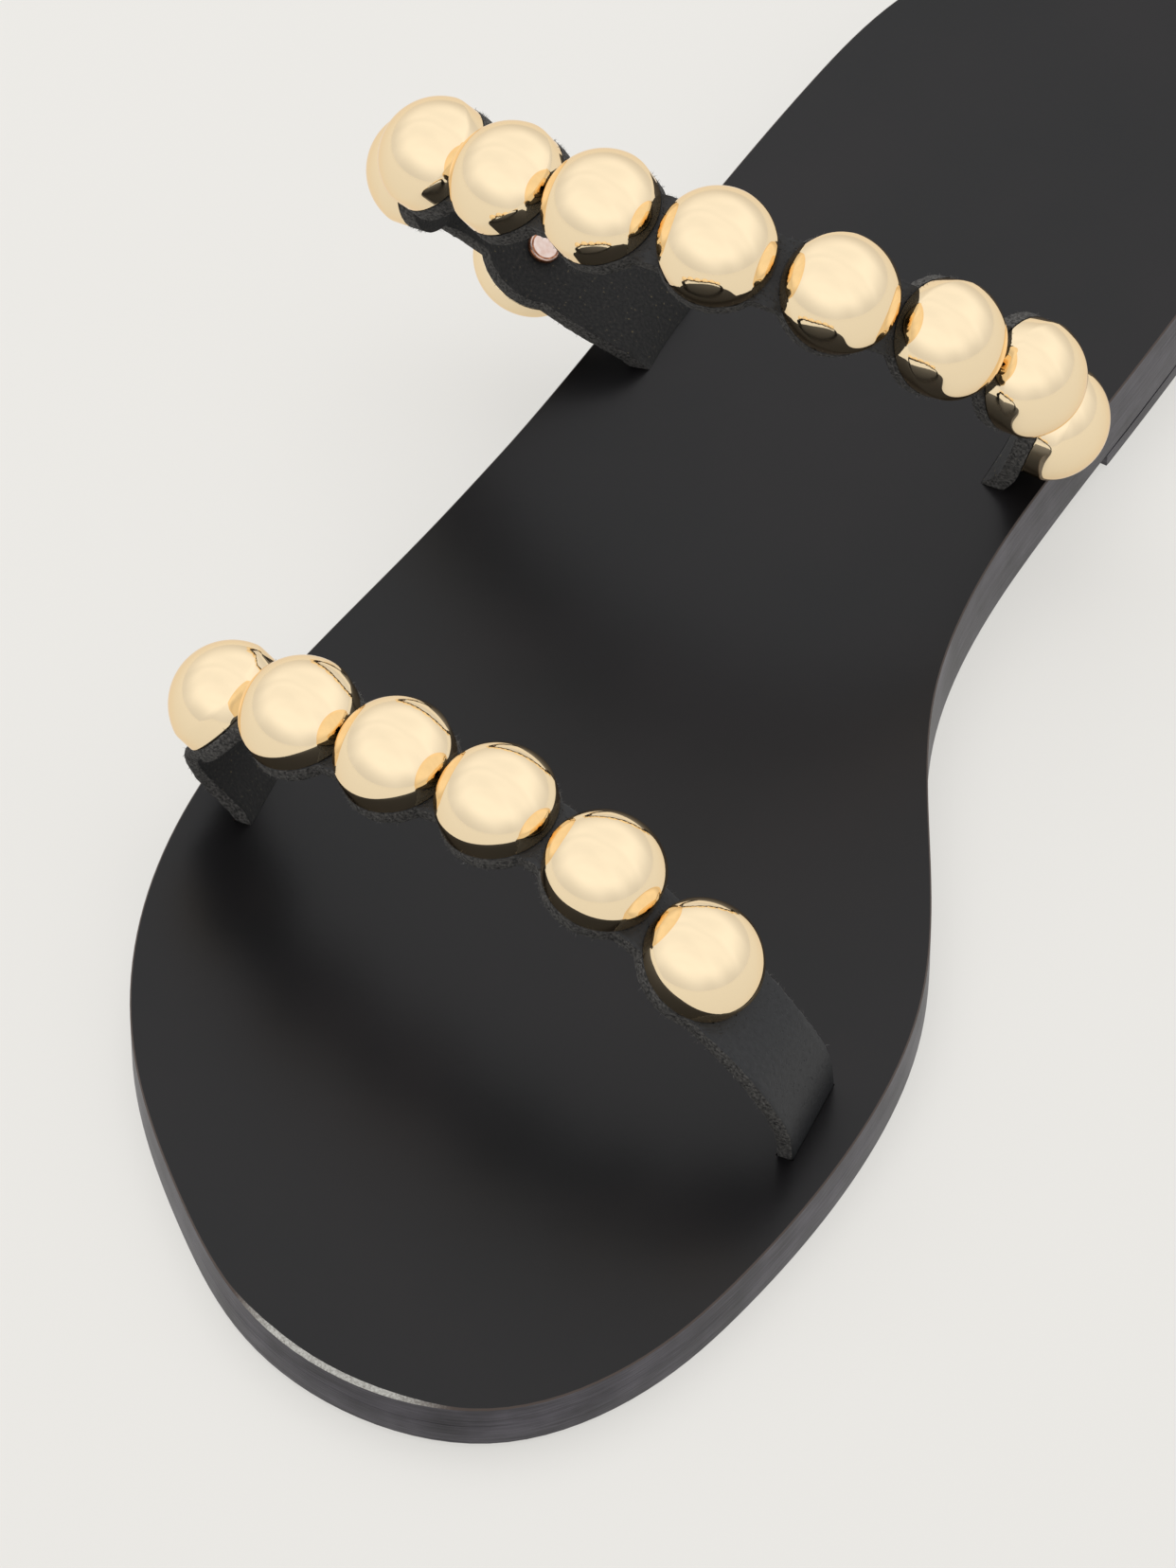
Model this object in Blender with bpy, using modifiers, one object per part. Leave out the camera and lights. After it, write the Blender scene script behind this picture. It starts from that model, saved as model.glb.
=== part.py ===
"""Slide sandal for the right foot: a flat leather sole and two straps set with domed metal studs.

Tables and sizes are in millimetres and become metres when a mesh is made.
On the sole, "across" runs towards the inner side of the foot and "from_toe" runs back to the heel.
In the model +X is across, +Y is towards the heel, +Z is up and the sole stands on z = 0.
"""
import bisect
from collections import namedtuple
import math

import bmesh
import bpy
from mathutils import Matrix, Vector
import numpy as np

MM = 0.001

# Where the model's origin lies on the sole
ORIGIN_ACROSS = -0.8
ORIGIN_FROM_TOE = 118.4

# Clearance between pieces that meet, and how far a strap's end stops above the insole's underside
GAP = 0.3
STRAP_END_RAISE = 0.3

# Sole
INSOLE_THICK = 3.0
INSOLE_BEVEL = 0.7
HEEL_BREAST_FROM_TOE = 168.0
OUTLINE_POINTS = 88
SOLE_STATIONS = 15

# Straps
STRAP_THICK = 2.0
STRAP_WIDTH = 12.0
NECK_WIDTH = 8.6
FLAT_HALF = 5.2
STEPS_PER_PITCH = 8
STRAP_COLUMNS = 3
SLOT_REACH = 8.0
SLOT_UNDERCUT = 2.0

# Studs and their rivets
STUD_DIAMETER = 14.0
STUD_SEAT = 0.4
STUD_SKIRT = 2.1
STUD_CROWN = 5.1
STUD_WALL = 0.7
STUD_SIDES = 16
STUD_RINGS = 5
POST_DIAMETER = 2.0
RIVET_HEAD_DIAMETER = 4.0
RIVET_HEAD_THICK = 0.6
RIVET_SIDES = 10

OutlinePoint = namedtuple("OutlinePoint", "place across from_toe")
SOLE_OUTLINE = (
    OutlinePoint("toe tip", 24.0, -1.2),
    OutlinePoint("big toe", 40.8, 3.3),
    OutlinePoint("big toe side", 50.6, 16.5),
    OutlinePoint("inner ball front", 55.0, 35.0),
    OutlinePoint("inner ball", 56.1, 55.0),
    OutlinePoint("inner ball back", 52.3, 78.5),
    OutlinePoint("inner waist front", 42.2, 98.4),
    OutlinePoint("inner waist", 31.8, 117.9),
    OutlinePoint("inner waist back", 27.7, 137.0),
    OutlinePoint("inner heel front", 27.4, 164.0),
    OutlinePoint("inner heel", 27.3, 194.0),
    OutlinePoint("inner heel round", 19.7, 227.0),
    OutlinePoint("heel end", -1.2, 238.2),
    OutlinePoint("outer heel round", -22.3, 227.3),
    OutlinePoint("outer heel", -29.9, 198.0),
    OutlinePoint("outer waist", -30.4, 149.0),
    OutlinePoint("outer waist front", -32.5, 111.5),
    OutlinePoint("outer ball", -35.9, 80.0),
    OutlinePoint("little toe side", -32.1, 48.7),
    OutlinePoint("little toe", -22.0, 28.9),
    OutlinePoint("outer toe", -5.0, 11.8),
    OutlinePoint("toe round", 9.4, 2.1),
)

# How high the outsole's underside is above the ground, and how thick the outsole is there
SideSection = namedtuple("SideSection", "from_toe lift outsole_thick")
SOLE_SIDE = (
    SideSection(-1.0, 0.5, 2.8),
    SideSection(28.0, 0.0, 3.1),
    SideSection(82.0, 0.0, 3.6),
    SideSection(125.0, 0.2, 6.0),
    SideSection(146.5, 0.9, 6.4),
    SideSection(168.0, 2.0, 5.9),
    SideSection(240.0, 2.0, 5.9),
)

# A strap is followed from its outer slot, over the foot, to its inner slot.
# rise turns its path up (positive) or down, forward swings it to the toe, and tilt leans its width.
Bend = namedtuple("Bend", "along rise forward tilt")
FRONT_BENDS = (
    Bend(0.0, 95.0, 0.0, 0.0),
    Bend(6.3, 137.2, 11.7, -6.1),
    Bend(23.2, 49.3, 11.6, -2.9),
    Bend(42.1, 11.4, 0.6, 13.1),
    Bend(61.5, 8.6, -1.6, 10.0),
    Bend(81.1, -17.8, -1.2, 8.5),
    Bend(96.8, -34.8, -4.8, 5.5),
    Bend(106.3, -64.7, -15.0, 4.1),
    Bend(111.3, -75.6, -16.5, 3.4),
    Bend(115.8, -88.8, -12.8, 1.6),
    Bend(119.9, -94.7, -9.8, 0.1),
    Bend(124.7, -95.0, 0.0, 0.0),
)
REAR_BENDS = (
    Bend(0.0, 95.0, 0.0, 0.0),
    Bend(6.0, 127.0, 22.8, 2.2),
    Bend(16.0, 149.9, 9.9, 5.3),
    Bend(26.0, 149.9, 3.5, 9.1),
    Bend(34.0, 147.4, 12.3, 13.3),
    Bend(42.0, 84.7, 29.2, 19.1),
    Bend(50.0, 39.5, 30.7, 26.0),
    Bend(62.0, 24.8, 19.9, 23.3),
    Bend(74.0, 21.1, 15.7, 21.2),
    Bend(96.9, -5.4, -5.2, 23.4),
    Bend(119.9, -37.3, -25.7, 29.0),
    Bend(143.0, -69.5, -35.5, 38.0),
    Bend(162.9, -119.5, -1.1, 15.0),
    Bend(168.9, -94.0, 0.0, 0.0),
)
Strap = namedtuple("Strap", "name slot_across slot_from_toe line_yaw slot_yaw studs first second pitch bends")
FRONT_STRAP = Strap("front", -28.3, 68.5, -8.6, 7.1, 6, 23.4, 37.7, 14.3, FRONT_BENDS)
REAR_STRAP = Strap("rear", -23.6, 151.8, 4.1, 2.0, 10, 21.5, 40.3, 14.4, REAR_BENDS)

# Base colour as linear red, green and blue, then roughness and metallic
Finish = namedtuple("Finish", "colour roughness metallic")
FINISHES = {
    "footbed_leather": Finish((0.018, 0.018, 0.018), 0.42, 0.0),
    "sole_edge_leather": Finish((0.045, 0.043, 0.048), 0.55, 0.0),
    "strap_leather": Finish((0.030, 0.030, 0.032), 0.6, 0.0),
    "polished_gold": Finish((0.88, 0.69, 0.42), 0.05, 1.0),
    "copper_rivet": Finish((0.75, 0.52, 0.42), 0.3, 1.0),
}


def clear_scene():
    """Remove what an earlier run or a new file left behind."""
    for old in list(bpy.data.objects):
        bpy.data.objects.remove(old, do_unlink=True)


def new_collection(name):
    """A collection linked to the scene."""
    group = bpy.data.collections.new(name)
    bpy.context.scene.collection.children.link(group)
    return group


def new_material(name):
    """A plain surface with the colour, roughness and metallic value of its finish."""
    finish = FINISHES[name]
    material = bpy.data.materials.new(name)
    material.use_nodes = True
    shader = material.node_tree.nodes["Principled BSDF"]
    shader.inputs["Base Color"].default_value = (*finish.colour, 1.0)
    shader.inputs["Roughness"].default_value = finish.roughness
    shader.inputs["Metallic"].default_value = finish.metallic
    return material


def new_object(name, mesh, group, material=None):
    """An object for a mesh, in its collection, with its material."""
    if material and not mesh.materials:
        mesh.materials.append(material)
    piece = bpy.data.objects.new(name, mesh)
    group.objects.link(piece)
    return piece


def make_cutter(piece):
    """Keep a piece that only cuts others out of the picture."""
    piece.hide_render = True
    piece.display_type = "WIRE"


def cut(piece, cutter):
    """Take the cutter's volume out of a piece."""
    boolean = piece.modifiers.new("cut by " + cutter.name, "BOOLEAN")
    boolean.operation = "DIFFERENCE"
    boolean.object = cutter


def model_xyz(across, from_toe, height):
    """Sole measures to a place in the model, in metres."""
    return Vector((across - ORIGIN_ACROSS, from_toe - ORIGIN_FROM_TOE, height)) * MM


def monotone_curve(table, key, column):
    """A smooth function through one column of a table that never overshoots its rows."""
    x = np.array([getattr(row, key) for row in table])
    y = np.array([getattr(row, column) for row in table])
    step = np.diff(x)
    rise = np.diff(y) / step
    slope = np.zeros(len(x))
    for i in range(1, len(x) - 1):
        if rise[i - 1] * rise[i] > 0:
            before = 2 * step[i] + step[i - 1]
            after = step[i] + 2 * step[i - 1]
            slope[i] = (before + after) / (before / rise[i - 1] + after / rise[i])

    def value(at):
        at = np.clip(at, x[0], x[-1])
        i = np.clip(np.searchsorted(x, at, side="right") - 1, 0, len(step) - 1)
        t = (at - x[i]) / step[i]
        start = (1 + 2 * t) * (1 - t) ** 2 * y[i] + t * (1 - t) ** 2 * step[i] * slope[i]
        end = t * t * (3 - 2 * t) * y[i + 1] + t * t * (t - 1) * step[i] * slope[i + 1]
        return start + end

    return value


def closed_curve(points, count):
    """A smooth closed curve through the points, as count evenly spaced places."""
    points = np.array(points)
    n = len(points)
    chord = np.linalg.norm(np.roll(points, -1, axis=0) - points, axis=1)
    slope = (np.roll(points, -1, axis=0) - points) / chord[:, None]
    matrix = np.zeros((n, n))
    for i in range(n):
        matrix[i, i - 1] += chord[i - 1]
        matrix[i, i] += 2 * (chord[i - 1] + chord[i])
        matrix[i, (i + 1) % n] += chord[i]
    bend = np.linalg.solve(matrix, 6 * (slope - np.roll(slope, 1, axis=0)))
    start = np.concatenate([[0], np.cumsum(chord)])
    places = []
    for at in np.linspace(0, start[-1], count, endpoint=False):
        i = min(int(np.searchsorted(start, at, side="right")) - 1, n - 1)
        j = (i + 1) % n
        t = at - start[i]
        h = chord[i]
        first = slope[i] - h * (2 * bend[i] + bend[j]) / 6
        places.append(points[i] + t * first + t * t * bend[i] / 2 + t ** 3 * (bend[j] - bend[i]) / (6 * h))
    return places


outsole_lift = monotone_curve(SOLE_SIDE, "from_toe", "lift")
outsole_thick = monotone_curve(SOLE_SIDE, "from_toe", "outsole_thick")


def outsole_top(from_toe):
    """Height of the outsole's upper face."""
    return outsole_lift(from_toe) + outsole_thick(from_toe)


def insole_bottom(from_toe):
    """Height of the insole board's underside."""
    return outsole_top(from_toe) + GAP


def footbed(from_toe):
    """Height of the face that the foot stands on."""
    return insole_bottom(from_toe) + INSOLE_THICK


def heel_lift_top(from_toe):
    """Height of the heel lift's upper face."""
    return outsole_lift(from_toe) - GAP


def ground(from_toe):
    """Height of the ground."""
    return 0.0 * from_toe


def sole_layer(name, lower, upper, bevel=0.0, front=None):
    """One layer of the sole: the outline filled, raised, bevelled and bent to its side profile.

    lower and upper give the layer's heights along the sole; front cuts it off there.
    """
    outline = closed_curve([(p.across, p.from_toe) for p in SOLE_OUTLINE], OUTLINE_POINTS)
    bm = bmesh.new()
    loop = [bm.verts.new((x, y, 0.0)) for x, y in outline]
    edges = [bm.edges.new((a, b)) for a, b in zip(loop, loop[1:] + loop[:1])]
    filled = bmesh.ops.edgeloop_fill(bm, edges=edges)["faces"]
    thick = upper(ORIGIN_FROM_TOE) - lower(ORIGIN_FROM_TOE)
    raised = bmesh.ops.extrude_face_region(bm, geom=filled)["geom"]
    top = [v for v in raised if isinstance(v, bmesh.types.BMVert)]
    bmesh.ops.translate(bm, verts=top, vec=(0.0, 0.0, thick))
    if bevel:
        rim = [e for e in bm.edges if all(v.co.z > thick / 2 for v in e.verts)]
        bmesh.ops.bevel(bm, geom=rim, offset=bevel, segments=2, profile=0.5, affect="EDGES")
    if front is not None:
        everything = bm.verts[:] + bm.edges[:] + bm.faces[:]
        bmesh.ops.bisect_plane(
            bm, geom=everything, plane_co=(0, front, 0), plane_no=(0, 1, 0), clear_inner=True)
        bmesh.ops.holes_fill(bm, edges=[e for e in bm.edges if e.is_boundary])
    low = min(v.co.y for v in bm.verts)
    high = max(v.co.y for v in bm.verts)
    for station in np.linspace(low, high, SOLE_STATIONS + 2)[1:-1]:
        everything = bm.verts[:] + bm.edges[:] + bm.faces[:]
        bmesh.ops.bisect_plane(bm, geom=everything, plane_co=(0, station, 0), plane_no=(0, 1, 0))
    for vert in bm.verts:
        bottom = lower(vert.co.y)
        height = bottom + (upper(vert.co.y) - bottom) * vert.co.z / thick
        vert.co = model_xyz(vert.co.x, vert.co.y, height)
    bmesh.ops.triangulate(bm, faces=bm.faces[:])
    bmesh.ops.recalc_face_normals(bm, faces=bm.faces[:])
    mesh = bpy.data.meshes.new(name)
    bm.to_mesh(mesh)
    bm.free()
    return mesh


def strap_length(strap):
    """Length of a strap between its two ends in the insole."""
    return strap.bends[-1].along


def stud_places(strap):
    """How far along the strap each stud sits; from the second on they are evenly spaced."""
    return [strap.first] + [strap.second + strap.pitch * i for i in range(strap.studs - 1)]


def bend_place(strap, along):
    """Where to read the bend table: the leather stays flat under a stud and bends between studs."""
    knots = [0.0] + stud_places(strap) + [strap_length(strap)]
    last = len(knots) - 2
    i = min(max(bisect.bisect_right(knots, along) - 1, 0), last)
    gap = knots[i + 1] - knots[i]
    low = FLAT_HALF if i > 0 else 0.0
    high = FLAT_HALF if i < last else 0.0
    part = min(max((along - knots[i] - low) / (gap - low - high), 0.0), 1.0)
    if 0 < i < last:
        part = part * part * (3 - 2 * part)
    return knots[i] + gap * part


PathPoint = namedtuple("PathPoint", "place forward across out")


def strap_path(strap):
    """The strap's middle line as a function of the distance along it, in millimetres."""
    rise = monotone_curve(strap.bends, "along", "rise")
    swing = monotone_curve(strap.bends, "along", "forward")
    tilt = monotone_curve(strap.bends, "along", "tilt")
    yaw = math.radians(strap.line_yaw)
    line = Vector((math.cos(yaw), math.sin(yaw), 0.0))
    heelward = Vector((-math.sin(yaw), math.cos(yaw), 0.0))
    slot_turn = math.radians(strap.slot_yaw)
    slot_line = Vector((-math.sin(slot_turn), math.cos(slot_turn), 0.0))
    up = Vector((0.0, 0.0, 1.0))

    def heading(along):
        at = bend_place(strap, along)
        climb = math.radians(rise(at))
        aside = math.radians(swing(at))
        flat = math.cos(aside)
        return flat * math.cos(climb) * line - math.sin(aside) * heelward + flat * math.sin(climb) * up

    step = 0.25
    count = int(strap_length(strap) / step)
    start_height = insole_bottom(strap.slot_from_toe) + STRAP_END_RAISE
    origin = Vector((strap.slot_across, strap.slot_from_toe, start_height))
    walked = [origin]
    for i in range(count):
        walked.append(walked[-1] + heading((i + 0.5) * step) * step)

    def point(along):
        inside = min(max(along, 0.0), count * step)
        i = min(int(inside / step), count - 1)
        place = walked[i].lerp(walked[i + 1], inside / step - i)
        forward = heading(inside)
        lean = math.radians(tilt(bend_place(strap, inside)))
        width = slot_line * math.cos(lean) + up * math.sin(lean)
        width = (width - forward * width.dot(forward)).normalized()
        return PathPoint(place + forward * (along - inside), forward, width, forward.cross(width))

    return point


def half_width(strap, along):
    """Half of the strap's width: straight bare ends, a disc under each stud and narrow necks between."""
    studs = stud_places(strap)
    nearest = min(abs(along - stud) for stud in studs)
    strip = NECK_WIDTH if studs[0] < along < studs[-1] else STRAP_WIDTH
    disc = STUD_DIAMETER / 2
    return max(strip / 2, math.sqrt(max(disc ** 2 - nearest ** 2, 0.0)))


def band_mesh(name, strap, stations, margin=0.0):
    """An open band along the strap's middle surface, one row of points for each station."""
    point = strap_path(strap)
    bm = bmesh.new()
    bmesh.ops.create_grid(bm, x_segments=len(stations) - 1, y_segments=STRAP_COLUMNS, size=1.0)
    bm.verts.ensure_lookup_table()
    columns = sorted({round(v.co.x, 6) for v in bm.verts})
    for vert in bm.verts:
        along = stations[columns.index(round(vert.co.x, 6))]
        at = point(along)
        aside = (half_width(strap, along) + margin) * vert.co.y
        place = at.place + at.across * aside
        vert.co = model_xyz(*place)
    mesh = bpy.data.meshes.new(name)
    bm.to_mesh(mesh)
    bm.free()
    return mesh


def solidify(piece, thick):
    """Give an open band its thickness, half to each side."""
    modifier = piece.modifiers.new("leather thickness", "SOLIDIFY")
    modifier.thickness = thick * MM
    modifier.offset = 0.0
    modifier.use_even_offset = True


def strap_stations(strap):
    """Places along the strap with an even spacing that falls on every stud."""
    step = strap.pitch / STEPS_PER_PITCH
    end = strap_length(strap)
    first = strap.first % step
    inner = [first + step * i for i in range(int((end - first) / step) + 1)]
    return [0.0] + [s for s in inner if step / 3 < s < end - step / 3] + [end]


def slot_stations(strap):
    """The two stretches of a strap that pass through the insole, run on past its underside."""
    stations = strap_stations(strap)
    end = stations[-1]
    outer = [-SLOT_UNDERCUT] + [s for s in stations if s < SLOT_REACH]
    inner = [s for s in stations if s > end - SLOT_REACH] + [end + SLOT_UNDERCUT]
    return {"outer": outer, "inner": inner}


def stud_matrix(at):
    """Stand a stud on the strap: its own z points out of the strap."""
    turn = Matrix((at.forward, at.across, at.out)).transposed().to_4x4()
    return Matrix.Translation(model_xyz(*at.place)) @ turn


def turned_mesh(name, profile, sides):
    """A turned solid from a profile that runs down its outer side from axis to axis."""
    mesh = bpy.data.meshes.new(name + " profile")
    points = [(r * MM, 0.0, z * MM) for r, z in profile]
    mesh.from_pydata(points, [(i, i + 1) for i in range(len(points) - 1)], [])
    lathe = bpy.data.objects.new(name + " lathe", mesh)
    bpy.context.scene.collection.objects.link(lathe)
    screw = lathe.modifiers.new("turn", "SCREW")
    screw.steps = sides
    screw.render_steps = sides
    screw.use_merge_vertices = True
    screw.merge_threshold = 0.00001
    bpy.context.view_layer.update()
    evaluated = lathe.evaluated_get(bpy.context.evaluated_depsgraph_get())
    turned = bpy.data.meshes.new_from_object(evaluated)
    turned.name = name
    bpy.data.objects.remove(lathe, do_unlink=True)
    bpy.data.meshes.remove(mesh)
    turned.shade_smooth()
    turned.set_sharp_from_angle(angle=math.radians(40))
    return turned


def dome_profile():
    """A hollow cap, part of a ball, on a straight skirt that is seated just clear of the strap."""
    base = STRAP_THICK / 2 + STUD_SEAT
    shoulder = base + STUD_SKIRT
    outer = STUD_DIAMETER / 2
    ball = (outer ** 2 + STUD_CROWN ** 2) / (2 * STUD_CROWN)
    centre = shoulder + STUD_CROWN - ball
    reach = math.asin(outer / ball)
    turns = [reach * i / STUD_RINGS for i in range(STUD_RINGS + 1)]
    shell = [(ball * math.sin(a), centre + ball * math.cos(a)) for a in turns]
    shrink = (outer - STUD_WALL) / outer
    hollow = [(r * shrink, z - STUD_WALL) for r, z in shell[::-1]]
    return shell + [(outer, base), (outer - STUD_WALL, base)] + hollow


def rivet_profile():
    """A flat head behind the strap, and a post through the leather up into the dome."""
    seat = -STRAP_THICK / 2 - GAP
    crown = STRAP_THICK / 2 + STUD_SEAT + STUD_SKIRT + STUD_CROWN - STUD_WALL
    tip = crown - 2 * GAP
    post = POST_DIAMETER / 2
    head = RIVET_HEAD_DIAMETER / 2
    back = seat - RIVET_HEAD_THICK
    return [(0.0, tip), (post, tip), (post, seat), (head, seat), (head, back), (0.0, back)]


def build_sole(group, materials):
    """Insole board, outsole and heel lift."""
    insole = new_object(
        "insole", sole_layer("insole", insole_bottom, footbed, bevel=INSOLE_BEVEL),
        group, materials["footbed_leather"])
    new_object(
        "outsole", sole_layer("outsole", outsole_lift, outsole_top),
        group, materials["sole_edge_leather"])
    new_object(
        "heel_lift", sole_layer("heel_lift", ground, heel_lift_top, front=HEEL_BREAST_FROM_TOE),
        group, materials["sole_edge_leather"])
    return insole


def build_strap(strap, insole, group, cutters, materials):
    """A strap with its rivet holes, and the two slots that it takes in the insole."""
    name = strap.name + "_strap"
    piece = new_object(name, band_mesh(name, strap, strap_stations(strap)), group, materials["strap_leather"])
    solidify(piece, STRAP_THICK)
    for side, stations in slot_stations(strap).items():
        slot_name = f"{strap.name}_{side}_slot"
        slot = new_object(slot_name, band_mesh(slot_name, strap, stations, margin=GAP), cutters)
        solidify(slot, STRAP_THICK + 2 * GAP)
        make_cutter(slot)
        cut(insole, slot)
    return piece


def build_studs(strap, strap_piece, dome_mesh, rivet_mesh, group, cutters):
    """A dome and a rivet at each stud place, and the holes for the rivets' posts."""
    point = strap_path(strap)
    bm = bmesh.new()
    for i, along in enumerate(stud_places(strap), start=1):
        matrix = stud_matrix(point(along))
        for kind, mesh in (("dome", dome_mesh), ("rivet", rivet_mesh)):
            piece = new_object(f"{strap.name}_{kind}_{i}", mesh, group)
            piece.parent = strap_piece
            piece.matrix_world = matrix
        bmesh.ops.create_cone(
            bm, cap_ends=True, segments=RIVET_SIDES, radius1=(POST_DIAMETER / 2 + GAP) * MM,
            radius2=(POST_DIAMETER / 2 + GAP) * MM, depth=3 * STRAP_THICK * MM, matrix=matrix)
    holes_mesh = bpy.data.meshes.new(strap.name + "_rivet_holes")
    bm.to_mesh(holes_mesh)
    bm.free()
    holes = new_object(strap.name + "_rivet_holes", holes_mesh, cutters)
    make_cutter(holes)
    cut(strap_piece, holes)


clear_scene()
parts = new_collection("studded_slide_sandal")
cutters = new_collection("cutters")
materials = {name: new_material(name) for name in FINISHES}
insole = build_sole(parts, materials)
dome_mesh = turned_mesh("dome", dome_profile(), STUD_SIDES)
dome_mesh.materials.append(materials["polished_gold"])
rivet_mesh = turned_mesh("rivet", rivet_profile(), RIVET_SIDES)
rivet_mesh.materials.append(materials["copper_rivet"])
for strap in (FRONT_STRAP, REAR_STRAP):
    strap_piece = build_strap(strap, insole, parts, cutters, materials)
    build_studs(strap, strap_piece, dome_mesh, rivet_mesh, parts, cutters)
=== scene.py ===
"""Flat leather slide sandal, the right shoe: a layered sole and two straps set with polished dome studs.

Tables are in millimetres. "across" runs to the inner side of the foot, "from_toe" back to the heel.
"""
import bisect
from collections import namedtuple
import math
import random

import bpy
from mathutils import Matrix, Quaternion, Vector, noise
import numpy as np


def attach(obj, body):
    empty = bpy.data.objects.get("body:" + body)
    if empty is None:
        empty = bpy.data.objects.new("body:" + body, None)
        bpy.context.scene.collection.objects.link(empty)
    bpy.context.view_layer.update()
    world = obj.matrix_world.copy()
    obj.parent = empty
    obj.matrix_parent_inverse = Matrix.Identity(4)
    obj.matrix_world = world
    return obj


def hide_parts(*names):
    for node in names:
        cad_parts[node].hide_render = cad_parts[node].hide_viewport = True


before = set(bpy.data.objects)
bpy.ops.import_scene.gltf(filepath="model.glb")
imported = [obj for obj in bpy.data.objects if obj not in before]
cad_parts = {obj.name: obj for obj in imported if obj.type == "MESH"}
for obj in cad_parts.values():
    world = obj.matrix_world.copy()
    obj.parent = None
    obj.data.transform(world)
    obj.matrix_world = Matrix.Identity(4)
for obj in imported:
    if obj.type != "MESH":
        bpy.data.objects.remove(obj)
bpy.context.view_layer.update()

# Footbed
# The foot stands on one board of black sole leather, cut to the sole's outline and pressed smooth.
# Its upper edge is bevelled by hand, and the cut sides are inked and burnished with the outsole's.
MM = 0.001
ORIGIN_ACROSS = -0.8
ORIGIN_FROM_TOE = 118.4
INSOLE_THICK = 3.0
INSOLE_BEVEL = 0.55
BEVEL_SHARE = 0.3
# Centre and reach of the wider bevel at the toe, and of the painted highlight on that bevel.
TOE_WEAR_AND_HIGHLIGHT_AT = (22.0, -1.0)
TOE_WEAR_AND_HIGHLIGHT_REACH = 17.0
LAYER_GAP = 0.3
WEAR_FADE = 1.6
OUTLINE_POINTS = 264
BOARD_GRID = 7.0
GRID_START = 4.0
GRID_STOP = 2.0
FOOTBED_WAVE = 0.06
WAVES_PER_METRE = 38.0
RIM_BAND = 0.8
THICKNESS_READ_AT = ORIGIN_FROM_TOE + 60
SAME_PLACE = 1e-6
LEVEL_FACE = 0.99
UPPER_FACE = 0.985
BEVEL_FACE = 0.3
BOARD_SMOOTH_ANGLE = math.radians(32)

OutlinePoint = namedtuple("OutlinePoint", "place across from_toe")
SOLE_OUTLINE = (
    OutlinePoint("toe tip", 24.0, -1.2),
    OutlinePoint("big toe", 40.8, 3.3),
    OutlinePoint("big toe side", 50.6, 16.5),
    OutlinePoint("inner ball front", 55.0, 35.0),
    OutlinePoint("inner ball", 56.1, 55.0),
    OutlinePoint("inner ball back", 52.3, 78.5),
    OutlinePoint("inner waist front", 42.2, 98.4),
    OutlinePoint("inner waist", 31.8, 117.9),
    OutlinePoint("inner waist back", 27.7, 137.0),
    OutlinePoint("inner heel front", 27.4, 164.0),
    OutlinePoint("inner heel", 27.3, 194.0),
    OutlinePoint("inner heel round", 19.7, 227.0),
    OutlinePoint("heel end", -1.2, 238.2),
    OutlinePoint("outer heel round", -22.3, 227.3),
    OutlinePoint("outer heel", -29.9, 198.0),
    OutlinePoint("outer waist", -30.4, 149.0),
    OutlinePoint("outer waist front", -32.5, 111.5),
    OutlinePoint("outer ball", -35.9, 80.0),
    OutlinePoint("little toe side", -32.1, 48.7),
    OutlinePoint("little toe", -22.0, 28.9),
    OutlinePoint("outer toe", -5.0, 11.8),
    OutlinePoint("toe round", 9.4, 2.1),
)
SideSection = namedtuple("SideSection", "from_toe lift outsole_thick")
SOLE_SIDE = (
    SideSection(-1.0, 0.5, 2.8),
    SideSection(28.0, 0.0, 3.1),
    SideSection(82.0, 0.0, 3.6),
    SideSection(125.0, 0.2, 6.0),
    SideSection(146.5, 0.9, 6.4),
    SideSection(168.0, 2.0, 5.9),
    SideSection(240.0, 2.0, 5.9),
)


def model_place(across, from_toe, height):
    """Millimetres on the sole to metres in the model."""
    return Vector((across - ORIGIN_ACROSS, from_toe - ORIGIN_FROM_TOE, height)) * MM


def monotone_curve(table, key, column):
    """A smooth function through one column of a table that never overshoots its rows."""
    x = np.array([getattr(row, key) for row in table])
    y = np.array([getattr(row, column) for row in table])
    step = np.diff(x)
    rise = np.diff(y) / step
    slope = np.zeros(len(x))
    for i in range(1, len(x) - 1):
        if rise[i - 1] * rise[i] > 0:
            before = 2 * step[i] + step[i - 1]
            after = step[i] + 2 * step[i - 1]
            slope[i] = (before + after) / (before / rise[i - 1] + after / rise[i])

    def value(at):
        at = np.clip(at, x[0], x[-1])
        i = np.clip(np.searchsorted(x, at, side="right") - 1, 0, len(step) - 1)
        t = (at - x[i]) / step[i]
        start = (1 + 2 * t) * (1 - t) ** 2 * y[i] + t * (1 - t) ** 2 * step[i] * slope[i]
        end = t * t * (3 - 2 * t) * y[i + 1] + t * t * (t - 1) * step[i] * slope[i + 1]
        return start + end

    return value


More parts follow.
